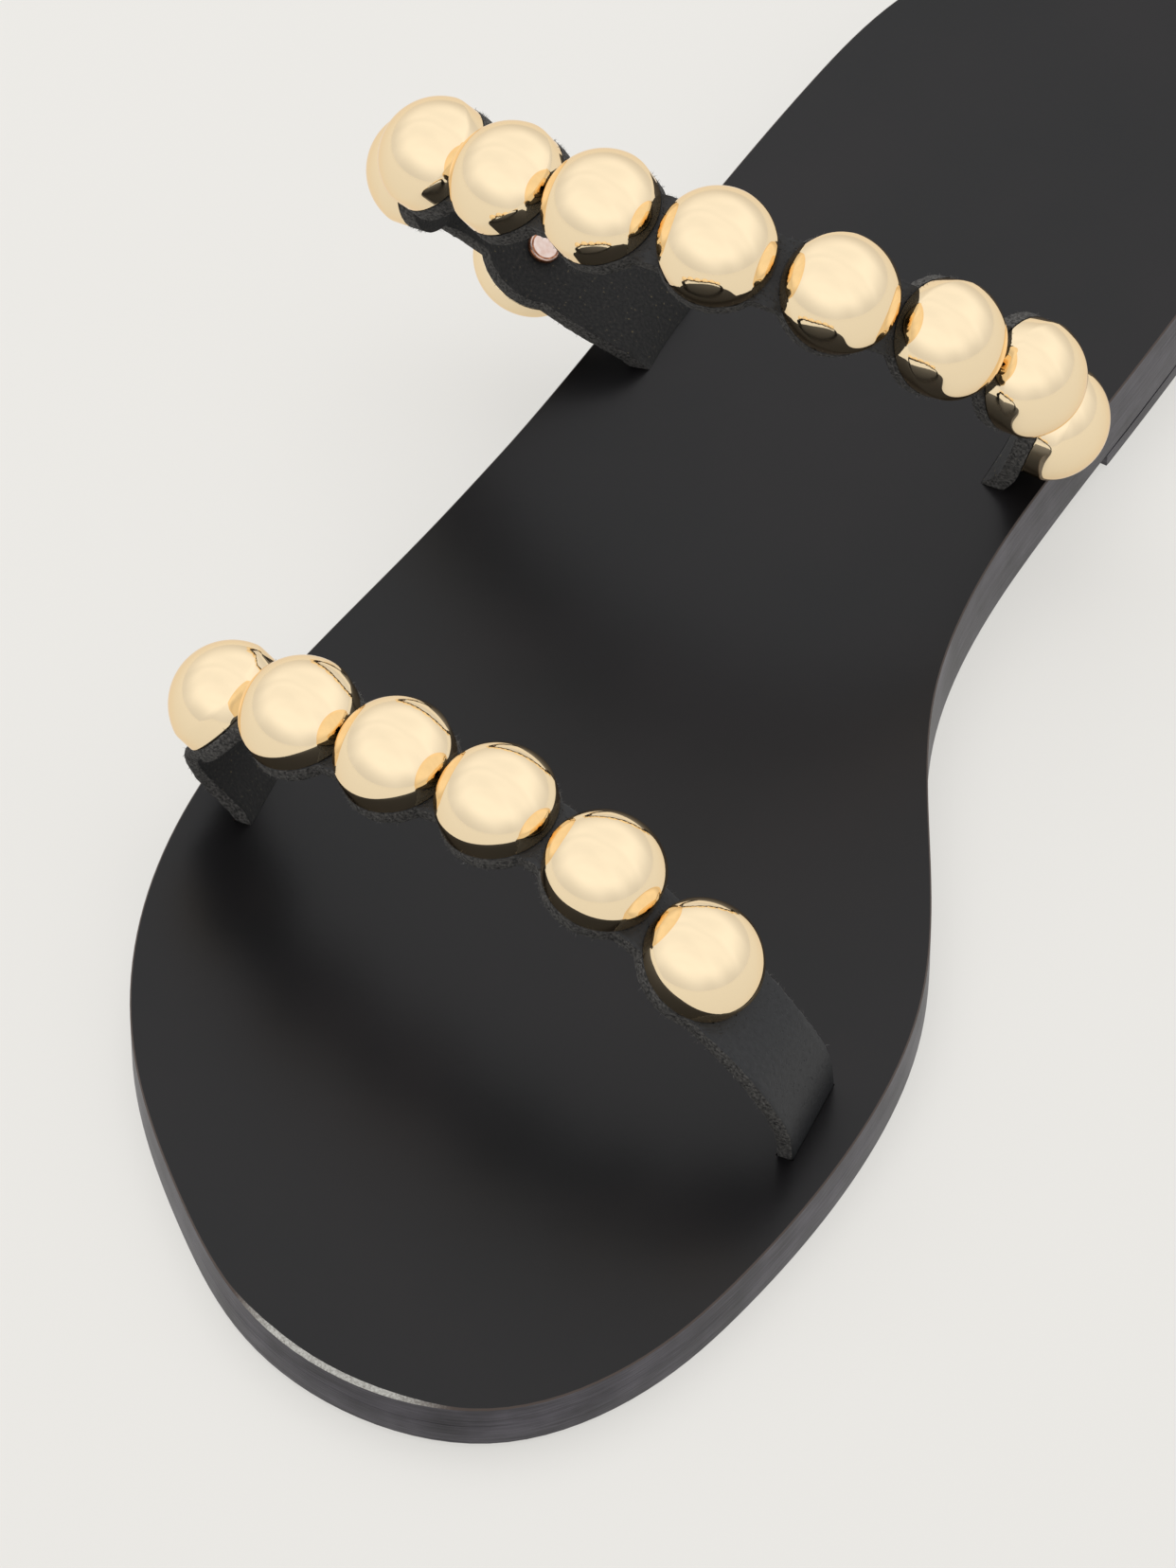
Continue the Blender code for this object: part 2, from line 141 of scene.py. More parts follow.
def closed_curve(points, count):
    """A smooth closed curve through the points, as count places along it."""
    points = np.array(points)
    n = len(points)
    chord = np.linalg.norm(np.roll(points, -1, axis=0) - points, axis=1)
    slope = (np.roll(points, -1, axis=0) - points) / chord[:, None]
    matrix = np.zeros((n, n))
    for i in range(n):
        matrix[i, i - 1] += chord[i - 1]
        matrix[i, i] += 2 * (chord[i - 1] + chord[i])
        matrix[i, (i + 1) % n] += chord[i]
    bend = np.linalg.solve(matrix, 6 * (slope - np.roll(slope, 1, axis=0)))
    start = np.concatenate([[0], np.cumsum(chord)])
    places = []
    for at in np.linspace(0, start[-1], count, endpoint=False):
        i = min(int(np.searchsorted(start, at, side="right")) - 1, n - 1)
        j = (i + 1) % n
        t = at - start[i]
        first = slope[i] - chord[i] * (2 * bend[i] + bend[j]) / 6
        curl = (bend[j] - bend[i]) / (6 * chord[i])
        places.append(points[i] + t * first + t * t * bend[i] / 2 + t ** 3 * curl)
    return places


outsole_lift = monotone_curve(SOLE_SIDE, "from_toe", "lift")
outsole_thick = monotone_curve(SOLE_SIDE, "from_toe", "outsole_thick")
sole_outline = closed_curve([(p.across, p.from_toe) for p in SOLE_OUTLINE], OUTLINE_POINTS)


def insole_bottom(from_toe):
    """Height of the board's underside."""
    return outsole_lift(from_toe) + outsole_thick(from_toe) + LAYER_GAP


def footbed_height(from_toe):
    """Height of the face that the foot stands on."""
    return insole_bottom(from_toe) + INSOLE_THICK


def select_only(piece):
    """Make one object the only selected and active one."""
    bpy.ops.object.select_all(action="DESELECT")
    piece.select_set(True)
    bpy.context.view_layer.objects.active = piece


def select_edges(piece, wanted):
    """In edit mode, select the edges whose two ends pass a test."""
    bpy.ops.mesh.select_mode(type="EDGE")
    bpy.ops.mesh.select_all(action="DESELECT")
    bpy.ops.object.mode_set(mode="OBJECT")
    for edge in piece.data.edges:
        ends = [piece.data.vertices[i].co for i in edge.vertices]
        edge.select = wanted(*ends)
    bpy.ops.object.mode_set(mode="EDIT")


def bevel_rim(board, level, bevel, steps, share=None):
    """Bevel the rim at one height; share gives how much of the bevel's width each place takes."""
    weights = board.data.attributes.get("bevel_weight_edge")
    if weights is None:
        weights = board.data.attributes.new("bevel_weight_edge", "FLOAT", "EDGE")
    for edge in board.data.edges:
        a, b = [board.data.vertices[i].co for i in edge.vertices]
        on_rim = abs(a.z - level) < SAME_PLACE and abs(b.z - level) < SAME_PLACE
        weights.data[edge.index].value = (share((a + b) / 2) if share else 1.0) if on_rim else 0.0
    rounding = board.modifiers.new("rim", "BEVEL")
    rounding.width = bevel * MM
    rounding.segments = steps
    rounding.limit_method = "WEIGHT"
    select_only(board)
    bpy.ops.object.modifier_apply(modifier=rounding.name)


def toe_wear(place):
    """How worn the footbed's rim is: fully at the tip of the toe, and hardly anywhere else."""
    away = (place.xy - model_place(*TOE_WEAR_AND_HIGHLIGHT_AT, 0.0).xy).length / (TOE_WEAR_AND_HIGHLIGHT_REACH * MM)
    near = min(max(WEAR_FADE - WEAR_FADE * away, 0.0), 1.0)
    return BEVEL_SHARE + (1 - BEVEL_SHARE) * near * near * (3 - 2 * near)


def sole_board(name, lower, upper, top_bevel, bottom_bevel, front=None, wave=0.0, share=None):
    """A layer of the sole: the outline raised, its rims bevelled, then bent to the sole's side profile.

    lower and upper give its heights along the sole, and front cuts it off square.
    """
    bpy.ops.object.select_all(action="DESELECT")
    bpy.ops.mesh.primitive_circle_add(vertices=OUTLINE_POINTS, radius=0.1, fill_type="NGON")
    board = bpy.context.object
    board.name = name
    board.data.name = name
    for vert, (across, from_toe) in zip(board.data.vertices, sole_outline):
        vert.co = model_place(across, from_toe, 0.0)
    thick = float(upper(THICKNESS_READ_AT) - lower(THICKNESS_READ_AT)) * MM
    bpy.ops.object.mode_set(mode="EDIT")
    bpy.ops.mesh.select_all(action="SELECT")
    bpy.ops.mesh.extrude_region_move(TRANSFORM_OT_translate={"value": (0.0, 0.0, thick)})
    if front is not None:
        bpy.ops.mesh.select_all(action="SELECT")
        edge = model_place(0.0, front, 0.0)
        bpy.ops.mesh.bisect(plane_co=edge, plane_no=(0.0, 1.0, 0.0), use_fill=True, clear_inner=True)
    bpy.ops.mesh.select_all(action="SELECT")
    bpy.ops.mesh.normals_make_consistent(inside=False)
    bpy.ops.object.mode_set(mode="OBJECT")
    if top_bevel:
        bevel_rim(board, thick, top_bevel, 1, share)
    if bottom_bevel:
        bevel_rim(board, 0.0, bottom_bevel, 3)
    bpy.ops.object.mode_set(mode="EDIT")
    bpy.ops.mesh.select_mode(type="FACE")
    bpy.ops.mesh.select_all(action="DESELECT")
    bpy.ops.object.mode_set(mode="OBJECT")
    for face in board.data.polygons:
        face.select = abs(face.normal.z) > LEVEL_FACE
    bpy.ops.object.mode_set(mode="EDIT")
    bpy.ops.mesh.inset(thickness=RIM_BAND * MM)
    low, high = Vector(board.bound_box[0]), Vector(board.bound_box[6])
    for axis, normal in ((0, (1.0, 0.0, 0.0)), (1, (0.0, 1.0, 0.0))):
        for at in np.arange(low[axis] + GRID_START * MM, high[axis] - GRID_STOP * MM, BOARD_GRID * MM):
            bpy.ops.mesh.select_all(action="SELECT")
            bpy.ops.mesh.bisect(plane_co=Vector(normal) * at, plane_no=normal)
    bpy.ops.object.mode_set(mode="OBJECT")
    for vert in board.data.vertices:
        from_toe = vert.co.y / MM + ORIGIN_FROM_TOE
        bottom = lower(from_toe)
        ripple = noise.noise(Vector((vert.co.x, vert.co.y, 0.0)) * WAVES_PER_METRE) * wave
        vert.co.z = (bottom + (upper(from_toe) - bottom) * vert.co.z / thick + ripple) * MM
    return board


def finish_board(board):
    """Slot 0 on the upper face, slot 2 on the bevel beside it, slot 1 on the sides and beneath."""
    for face in board.data.polygons:
        if face.normal.z > UPPER_FACE:
            face.material_index = 0
        else:
            face.material_index = 2 if face.normal.z > BEVEL_FACE else 1
    select_only(board)
    bpy.ops.object.shade_smooth_by_angle(angle=BOARD_SMOOTH_ANGLE)


def hex_colour(text):
    """An sRGB hex colour as linear red, green, blue and alpha."""
    parts = [int(text[i:i + 2], 16) / 255 for i in (1, 3, 5)]
    return (*[c / 12.92 if c <= 0.04045 else ((c + 0.055) / 1.055) ** 2.4 for c in parts], 1.0)


def new_surface(name):
    """A new material, its node tree and its shader."""
    material = bpy.data.materials.new(name)
    material.use_nodes = True
    tree = material.node_tree
    return material, tree, tree.nodes["Principled BSDF"]


def add_node(tree, kind, inputs, **settings):
    """Add a node with its settings, and set or link its inputs."""
    node = tree.nodes.new(kind)
    for name, value in settings.items():
        setattr(node, name, value)
    for socket, value in inputs.items():
        if isinstance(value, bpy.types.NodeSocket):
            tree.links.new(value, node.inputs[socket])
        else:
            node.inputs[socket].default_value = value
    return node


footbed = sole_board(
    "footbed_board", insole_bottom, footbed_height, INSOLE_BEVEL, 0.0, wave=FOOTBED_WAVE, share=toe_wear)

# Vegetable tanned leather, dyed through and glazed under a roller: black in itself, with a satin gloss
# that shows the room. Pores are under a millimetre and only soften it; the dye is warmer in places.
footbed_leather, tree, shader = new_surface("glazed_black_sole_leather")
place = add_node(tree, "ShaderNodeTexCoord", {}).outputs["Object"]
dye = add_node(
    tree, "ShaderNodeTexNoise", {"Vector": place, "Scale": 45.0, "Detail": 4.0}).outputs["Fac"]
dye_colour = add_node(tree, "ShaderNodeValToRGB", {"Fac": dye})
dye_colour.color_ramp.elements[0].position = 0.35
dye_colour.color_ramp.elements[0].color = hex_colour("#0c0c0d")
dye_colour.color_ramp.elements[1].position = 0.72
dye_colour.color_ramp.elements[1].color = hex_colour("#110f10")
tree.links.new(dye_colour.outputs["Color"], shader.inputs["Base Color"])
gloss = add_node(
    tree, "ShaderNodeMapRange", {"Value": dye, "To Min": 0.27, "To Max": 0.36}).outputs["Result"]
tree.links.new(gloss, shader.inputs["Roughness"])
pores = add_node(
    tree, "ShaderNodeTexVoronoi", {"Vector": place, "Scale": 1 / (0.7 * MM)},
    feature="SMOOTH_F1").outputs["Distance"]
grain = add_node(
    tree, "ShaderNodeTexNoise", {"Vector": place, "Scale": 1 / (0.5 * MM), "Detail": 3.0}).outputs["Fac"]
skin = add_node(tree, "ShaderNodeMath", {0: pores, 1: grain}, operation="ADD").outputs["Value"]
relief = add_node(tree, "ShaderNodeBump", {"Height": skin, "Strength": 0.2, "Distance": 0.02 * MM})
tree.links.new(relief.outputs["Normal"], shader.inputs["Normal"])
shader.inputs["IOR"].default_value = 1.36

# The cut sides of the layers: dyed edge leather, rubbed with wax until it shines softly, a cool dark
# grey. Fibres lie along the layers in fine lines, drawn about 0.3 mm thick so that they show.
edge_leather, tree, shader = new_surface("burnished_edge_leather")
place = add_node(tree, "ShaderNodeTexCoord", {}).outputs["Object"]
along_layers = add_node(
    tree, "ShaderNodeMapping", {"Vector": place, "Scale": (130.0, 130.0, 3200.0)}).outputs["Vector"]
fibres = add_node(
    tree, "ShaderNodeTexNoise",
    {"Vector": along_layers, "Scale": 1.0, "Detail": 3.0, "Roughness": 0.6}).outputs["Fac"]
mottle = add_node(
    tree, "ShaderNodeTexNoise", {"Vector": place, "Scale": 160.0, "Detail": 3.0}).outputs["Fac"]
both = add_node(tree, "ShaderNodeMath", {0: fibres, 1: mottle}, operation="MULTIPLY").outputs["Value"]
edge_colour = add_node(tree, "ShaderNodeValToRGB", {"Fac": both})
edge_colour.color_ramp.elements[0].position = 0.12
edge_colour.color_ramp.elements[0].color = hex_colour("#201e23")
edge_colour.color_ramp.elements[1].position = 0.40
edge_colour.color_ramp.elements[1].color = hex_colour("#49464d")
tree.links.new(edge_colour.outputs["Color"], shader.inputs["Base Color"])
shader.inputs["Roughness"].default_value = 0.42
shader.inputs["IOR"].default_value = 1.4
relief = add_node(tree, "ShaderNodeBump", {"Height": fibres, "Strength": 0.6, "Distance": 0.08 * MM})
tree.links.new(relief.outputs["Normal"], shader.inputs["Normal"])

# The bevel is brownish black all round, with a painted highlight at the toe's tip: pale grey there,
# fading out.
# The rasp leaves fine strokes, drawn 0.25 mm apart, which also break up the pale painted highlight.
bevel_leather, tree, shader = new_surface("rubbed_bevel_leather")
place = add_node(tree, "ShaderNodeTexCoord", {}).outputs["Object"]
# Painted highlight: around the toe's tip the bevel's colour goes from brownish black to pale grey, fading
# out over the reach.
highlight_spot = model_place(*TOE_WEAR_AND_HIGHLIGHT_AT, 5.0)
away = add_node(
    tree, "ShaderNodeVectorMath", {0: place, 1: highlight_spot}, operation="DISTANCE").outputs["Value"]
highlight_and_wear = add_node(
    tree, "ShaderNodeMapRange",
    {"Value": away, "From Min": 0.4 * TOE_WEAR_AND_HIGHLIGHT_REACH * MM, "From Max": TOE_WEAR_AND_HIGHLIGHT_REACH * MM,
     "To Min": 1.0, "To Max": 0.0}, interpolation_type="SMOOTHSTEP").outputs["Result"]
strokes = add_node(
    tree, "ShaderNodeTexNoise", {"Vector": place, "Scale": 1 / (0.25 * MM), "Detail": 2.0}).outputs["Fac"]
highlight_and_rubbed_tone = add_node(
    tree, "ShaderNodeMath", {0: highlight_and_wear, 1: strokes}, operation="MULTIPLY").outputs["Value"]
bevel_colour_and_highlight = add_node(tree, "ShaderNodeValToRGB", {"Fac": highlight_and_rubbed_tone})
bevel_colour_and_highlight.color_ramp.elements[0].position = 0.05
bevel_colour_and_highlight.color_ramp.elements[0].color = hex_colour("#3d322c")
bevel_colour_and_highlight.color_ramp.elements[1].position = 0.62
bevel_colour_and_highlight.color_ramp.elements[1].color = hex_colour("#a3a29c")
tree.links.new(bevel_colour_and_highlight.outputs["Color"], shader.inputs["Base Color"])
shader.inputs["Roughness"].default_value = 0.45
shader.inputs["IOR"].default_value = 1.45
relief = add_node(tree, "ShaderNodeBump", {"Height": strokes, "Strength": 0.4, "Distance": 0.05 * MM})
tree.links.new(relief.outputs["Normal"], shader.inputs["Normal"])

for finish in (footbed_leather, edge_leather, bevel_leather):
    footbed.data.materials.append(finish)
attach(footbed, "root")
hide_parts("insole")

# Outsole
# The walking sole is a second board of harder leather, thinner at the toe and glued under the first.
# Only its sides show; the ground side is plain, with its lower edge rounded off by wear.
SEAM_GAP = 0.01
SOLE_EDGE_ROUND = 0.35
SOLE_SMOOTH_ANGLE = math.radians(40)


def outsole_upper(from_toe):
    """Height of the outsole's upper face, closed up to a fine seam under the footbed."""
    return insole_bottom(from_toe) - SEAM_GAP


outsole = sole_board("walking_sole", outsole_lift, outsole_upper, 0.0, SOLE_EDGE_ROUND)
outsole.data.materials.append(edge_leather)
select_only(outsole)
bpy.ops.object.shade_smooth_by_angle(angle=SOLE_SMOOTH_ANGLE)
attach(outsole, "root")
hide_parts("outsole")

# Heel lift
# A single low lift under the heel, cut square across at its front and trimmed flush with the sole.
HEEL_BREAST_FROM_TOE = 168.0


def ground_height(from_toe):
    """Height of the ground."""
    return 0.0 * from_toe


def heel_upper(from_toe):
    """Height of the lift's upper face, closed up to a fine seam under the outsole."""
    return outsole_lift(from_toe) - SEAM_GAP


heel_lift = sole_board(
    "low_heel_lift", ground_height, heel_upper, 0.0, SOLE_EDGE_ROUND, front=HEEL_BREAST_FROM_TOE)
heel_lift.data.materials.append(edge_leather)
select_only(heel_lift)
bpy.ops.object.shade_smooth_by_angle(angle=SOLE_SMOOTH_ANGLE)
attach(heel_lift, "root")
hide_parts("heel_lift")

# Straps
# Each strap is a strip of 2 mm leather, cut with a round lobe under every stud and left raw at the edge.
# Its ends go down through slots punched in the footbed, and are glued under it.
STRAP_THICK = 2.0
STRAP_WIDTH = 12.0
NECK_WIDTH = 8.6
LOBE_DIAMETER = 14.0
FLAT_HALF = 5.2
STRAP_END_RAISE = 0.3
PATH_STEP = 0.25
STRAP_ROW = 0.45
STRAP_COLUMNS = 12
EDGE_ROUND = 0.3
EDGE_ROUGHNESS = 0.12
EDGE_SEED = 7
EDGE_TUFT = 0.6
EDGE_ANGLE = math.radians(50)
SLOT_CLEARANCE = 0.06
SLOT_REACH = 8.0
SLOT_UNDERCUT = 2.0
PUNCH_ROWS = 20
PUNCH_COLUMNS = 6

Bend = namedtuple("Bend", "along rise forward tilt")
FRONT_BENDS = (
    Bend(0.0, 95.0, 0.0, 0.0),
    Bend(6.3, 137.2, 11.7, -6.1),
    Bend(23.2, 49.3, 11.6, -2.9),
    Bend(42.1, 11.4, 0.6, 13.1),
    Bend(61.5, 8.6, -1.6, 10.0),
    Bend(81.1, -17.8, -1.2, 8.5),
    Bend(96.8, -34.8, -4.8, 5.5),
    Bend(106.3, -64.7, -15.0, 4.1),
    Bend(111.3, -75.6, -16.5, 3.4),
    Bend(115.8, -88.8, -12.8, 1.6),
    Bend(119.9, -94.7, -9.8, 0.1),
    Bend(124.7, -95.0, 0.0, 0.0),
)
REAR_BENDS = (
    Bend(0.0, 95.0, 0.0, 0.0),
    Bend(6.0, 127.0, 22.8, 2.2),
    Bend(16.0, 149.9, 9.9, 5.3),
    Bend(26.0, 149.9, 3.5, 9.1),
    Bend(34.0, 147.4, 12.3, 13.3),
    Bend(42.0, 84.7, 29.2, 19.1),
    Bend(50.0, 39.5, 30.7, 26.0),
    Bend(62.0, 24.8, 19.9, 23.3),
    Bend(74.0, 21.1, 15.7, 21.2),
    Bend(96.9, -5.4, -5.2, 23.4),
    Bend(119.9, -37.3, -25.7, 29.0),
    Bend(143.0, -69.5, -35.5, 38.0),
    Bend(162.9, -119.5, -1.1, 15.0),
    Bend(168.9, -94.0, 0.0, 0.0),
)
Strap = namedtuple(
    "Strap", "name slot_across slot_from_toe line_yaw slot_yaw studs first second pitch bends")
FRONT_STRAP = Strap("front", -28.3, 68.5, -8.6, 7.1, 6, 23.4, 37.7, 14.3, FRONT_BENDS)
REAR_STRAP = Strap("rear", -23.6, 151.8, 4.1, 2.0, 10, 21.5, 40.3, 14.4, REAR_BENDS)


def stud_places(strap):
    """How far along the strap each stud sits; from the second on they are evenly spaced."""
    return [strap.first] + [strap.second + strap.pitch * i for i in range(strap.studs - 1)]


def bend_place(strap, along):
    """Where to read the bend table: the leather stays flat under a stud and bends between studs."""
    knots = [0.0] + stud_places(strap) + [strap.bends[-1].along]
    last = len(knots) - 2
    i = min(max(bisect.bisect_right(knots, along) - 1, 0), last)
    gap = knots[i + 1] - knots[i]
    low = FLAT_HALF if i > 0 else 0.0
    high = FLAT_HALF if i < last else 0.0
    part = min(max((along - knots[i] - low) / (gap - low - high), 0.0), 1.0)
    if 0 < i < last:
        part = part * part * (3 - 2 * part)
    return knots[i] + gap * part


PathPoint = namedtuple("PathPoint", "place forward across out")


def strap_path(strap):
    """The strap's middle line as a function of the distance along it from its outer slot."""
    rise = monotone_curve(strap.bends, "along", "rise")
    swing = monotone_curve(strap.bends, "along", "forward")
    tilt = monotone_curve(strap.bends, "along", "tilt")
    yaw = math.radians(strap.line_yaw)
    line = Vector((math.cos(yaw), math.sin(yaw), 0.0))
    heelward = Vector((-math.sin(yaw), math.cos(yaw), 0.0))
    slot_turn = math.radians(strap.slot_yaw)
    slot_line = Vector((-math.sin(slot_turn), math.cos(slot_turn), 0.0))
    up = Vector((0.0, 0.0, 1.0))

    def heading(along):
        at = bend_place(strap, along)
        climb = math.radians(rise(at))
        aside = math.radians(swing(at))
        flat = math.cos(aside)
        return flat * math.cos(climb) * line - math.sin(aside) * heelward + flat * math.sin(climb) * up

    count = int(strap.bends[-1].along / PATH_STEP)
    start_height = insole_bottom(strap.slot_from_toe) + STRAP_END_RAISE
    walked = [Vector((strap.slot_across, strap.slot_from_toe, start_height))]
    for i in range(count):
        walked.append(walked[-1] + heading((i + 0.5) * PATH_STEP) * PATH_STEP)

    def point(along):
        inside = min(max(along, 0.0), count * PATH_STEP)
        i = min(int(inside / PATH_STEP), count - 1)
        place = walked[i].lerp(walked[i + 1], inside / PATH_STEP - i)
        forward = heading(inside)
        lean = math.radians(tilt(bend_place(strap, inside)))
        width = slot_line * math.cos(lean) + up * math.sin(lean)
        width = (width - forward * width.dot(forward)).normalized()
        return PathPoint(place + forward * (along - inside), forward, width, forward.cross(width))

    return point


def half_width(strap, along):
    """Half of the strap's width: straight bare ends, a lobe under each stud and narrow necks between."""
    studs = stud_places(strap)
    nearest = min(abs(along - stud) for stud in studs)
    strip = NECK_WIDTH if studs[0] < along < studs[-1] else STRAP_WIDTH
    return max(strip / 2, math.sqrt(max((LOBE_DIAMETER / 2) ** 2 - nearest ** 2, 0.0)))


def strap_band(name, strap, start, end, rows, columns, margin=0.0):
    """An open strip along the strap's middle surface, with its UV map in metres along and across."""
    bpy.ops.object.select_all(action="DESELECT")
    bpy.ops.mesh.primitive_grid_add(x_subdivisions=rows, y_subdivisions=columns, size=2.0, calc_uvs=True)
    band = bpy.context.object
    band.name = name
    band.data.name = name
    point = strap_path(strap)
    flat = [(v.co.x, v.co.y) for v in band.data.vertices]
    track = {}
    for vert, (x, y) in zip(band.data.vertices, flat):
        along = start + (end - start) * (round(x, 5) + 1) / 2
        if along not in track:
            track[along] = (point(along), half_width(strap, along) + margin)
        at, half = track[along]
        vert.co = model_place(*(at.place + at.across * half * y))
    for loop in band.data.loops:
        x, y = flat[loop.vertex_index]
        along = start + (end - start) * (x + 1) / 2
        band.data.uv_layers[0].data[loop.index].uv = (along * MM, y * STRAP_WIDTH / 2 * MM)
    return band


def give_thickness(band, thick):
    """Turn an open strip into leather: slot 1 behind, slot 2 round the cut edge."""
    solid = band.modifiers.new("thickness", "SOLIDIFY")
    solid.thickness = thick * MM
    solid.offset = 0.0
    solid.use_even_offset = True
    solid.material_offset = 1
    solid.material_offset_rim = 2
    select_only(band)
    bpy.ops.object.modifier_apply(modifier=solid.name)


def punch_slot(board, strap, start, end):
    """Cut one slot through the footbed, a little wider than the strap that goes into it."""
    cutter = strap_band(
        "slot_punch", strap, start, end, PUNCH_ROWS, PUNCH_COLUMNS, margin=SLOT_CLEARANCE)
    give_thickness(cutter, STRAP_THICK + 2 * SLOT_CLEARANCE)
    punch = board.modifiers.new("slot", "BOOLEAN")
    punch.operation = "DIFFERENCE"
    punch.object = cutter
    select_only(board)
    bpy.ops.object.modifier_apply(modifier=punch.name)
    bpy.data.objects.remove(cutter, do_unlink=True)


def roughen_edge(band, edge_slot):
    """Pull the cut edge about a little, as torn fibres do, and the same way on every run."""
    noise.seed_set(EDGE_SEED)
    raw = {i for face in band.data.polygons if face.material_index == edge_slot for i in face.vertices}
    for i in raw:
        vert = band.data.vertices[i]
        vert.co += noise.noise_vector(vert.co / (EDGE_TUFT * MM)) * EDGE_ROUGHNESS * MM


# The outer face is drum dyed calf, dark grey and matt, its fine pores drawn half a millimetre apart.
strap_grain, tree, shader = new_surface("matt_calf_grain")
place = add_node(tree, "ShaderNodeTexCoord", {}).outputs["UV"]
pores = add_node(
    tree, "ShaderNodeTexVoronoi", {"Vector": place, "Scale": 1 / (0.55 * MM)}).outputs["Distance"]
pits = add_node(
    tree, "ShaderNodeMapRange", {"Value": pores, "From Min": 0.0, "From Max": 0.3}).outputs["Result"]
grain = add_node(
    tree, "ShaderNodeTexNoise", {"Vector": place, "Scale": 1 / (0.6 * MM), "Detail": 4.0}).outputs["Fac"]
skin = add_node(tree, "ShaderNodeMath", {0: pits, 1: grain}, operation="ADD").outputs["Value"]
calf_colour = add_node(tree, "ShaderNodeValToRGB", {"Fac": grain})
calf_colour.color_ramp.elements[0].position = 0.3
calf_colour.color_ramp.elements[0].color = hex_colour("#141517")
calf_colour.color_ramp.elements[1].position = 0.7
calf_colour.color_ramp.elements[1].color = hex_colour("#1f2022")
tree.links.new(calf_colour.outputs["Color"], shader.inputs["Base Color"])
relief = add_node(tree, "ShaderNodeBump", {"Height": skin, "Strength": 0.8, "Distance": 0.1 * MM})
tree.links.new(relief.outputs["Normal"], shader.inputs["Normal"])
shader.inputs["Roughness"].default_value = 0.55
shader.inputs["IOR"].default_value = 1.45

# The flesh side is black suede: deep and dull, with a few pale specks of loose fibre.
strap_suede, tree, shader = new_surface("black_suede_back")
place = add_node(tree, "ShaderNodeTexCoord", {}).outputs["UV"]
nap = add_node(
    tree, "ShaderNodeTexNoise", {"Vector": place, "Scale": 1 / (0.4 * MM), "Detail": 6.0}).outputs["Fac"]
suede_colour = add_node(tree, "ShaderNodeValToRGB", {"Fac": nap})
suede_colour.color_ramp.elements[0].position = 0.40
suede_colour.color_ramp.elements[0].color = hex_colour("#0b0b0b")
suede_colour.color_ramp.elements[1].position = 0.66
suede_colour.color_ramp.elements[1].color = hex_colour("#1c1b19")
suede_colour.color_ramp.elements.new(0.76).color = hex_colour("#6e6344")
tree.links.new(suede_colour.outputs["Color"], shader.inputs["Base Color"])
relief = add_node(tree, "ShaderNodeBump", {"Height": nap, "Strength": 0.8, "Distance": 0.1 * MM})
tree.links.new(relief.outputs["Normal"], shader.inputs["Normal"])
shader.inputs["Roughness"].default_value = 0.9
shader.inputs["Sheen Weight"].default_value = 0.04
shader.inputs["Sheen Roughness"].default_value = 0.5

# The cut edge is raw: the dye sits unevenly on torn fibres, which look grey against the black.
strap_edge, tree, shader = new_surface("raw_cut_leather_edge")
place = add_node(tree, "ShaderNodeTexCoord", {}).outputs["Object"]
tufts = add_node(
    tree, "ShaderNodeTexNoise", {"Vector": place, "Scale": 1 / (0.35 * MM), "Detail": 5.0}).outputs["Fac"]
edge_tone = add_node(tree, "ShaderNodeValToRGB", {"Fac": tufts})
edge_tone.color_ramp.elements[0].position = 0.36
edge_tone.color_ramp.elements[0].color = hex_colour("#161514")
edge_tone.color_ramp.elements[1].position = 0.72
edge_tone.color_ramp.elements[1].color = hex_colour("#565451")
tree.links.new(edge_tone.outputs["Color"], shader.inputs["Base Color"])
relief = add_node(tree, "ShaderNodeBump", {"Height": tufts, "Strength": 1.0, "Distance": 0.2 * MM})
tree.links.new(relief.outputs["Normal"], shader.inputs["Normal"])
shader.inputs["Roughness"].default_value = 0.9

for strap in (FRONT_STRAP, REAR_STRAP):
    length = strap.bends[-1].along
    punch_slot(footbed, strap, -SLOT_UNDERCUT, SLOT_REACH)
    punch_slot(footbed, strap, length - SLOT_REACH, length + SLOT_UNDERCUT)
    rows = int(length / STRAP_ROW)
    band = strap_band(strap.name + "_leather_strap", strap, 0.0, length, rows, STRAP_COLUMNS)
    for finish in (strap_grain, strap_suede, strap_edge):
        band.data.materials.append(finish)
    give_thickness(band, STRAP_THICK)
    rounding = band.modifiers.new("edge", "BEVEL")
    rounding.width = EDGE_ROUND * MM
    rounding.segments = 2
    rounding.limit_method = "ANGLE"
    rounding.angle_limit = EDGE_ANGLE
    select_only(band)
    bpy.ops.object.modifier_apply(modifier=rounding.name)
    roughen_edge(band, 2)
    bpy.ops.object.shade_smooth_by_angle(angle=EDGE_ANGLE)
    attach(band, "root")
    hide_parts(strap.name + "_strap")
finish_board(footbed)

# Edge fibres
# Nothing seals the straps' cut edges, so loose leather fibres stand out of them as a short fuzz.
# One fibre is drawn out of a three sided cone, bent over, and strewn in clumps along both edges.
FIBRE_THICK = 0.1
FIBRE_STEP = 0.04
FIBRE_LONG = (0.25, 0.65)
FIBRE_CURL = 0.4
FIBRE_SHARE = 0.6
CLUMP_LONG = 1.3
CLUMP_APART = 5.0
CLUMP_SHARE = 0.8
ROOT_DEPTH = 0.15
ROOT_SPREAD = 0.95
LEAN_ALONG = 1.1
LEAN_OUT = 0.8

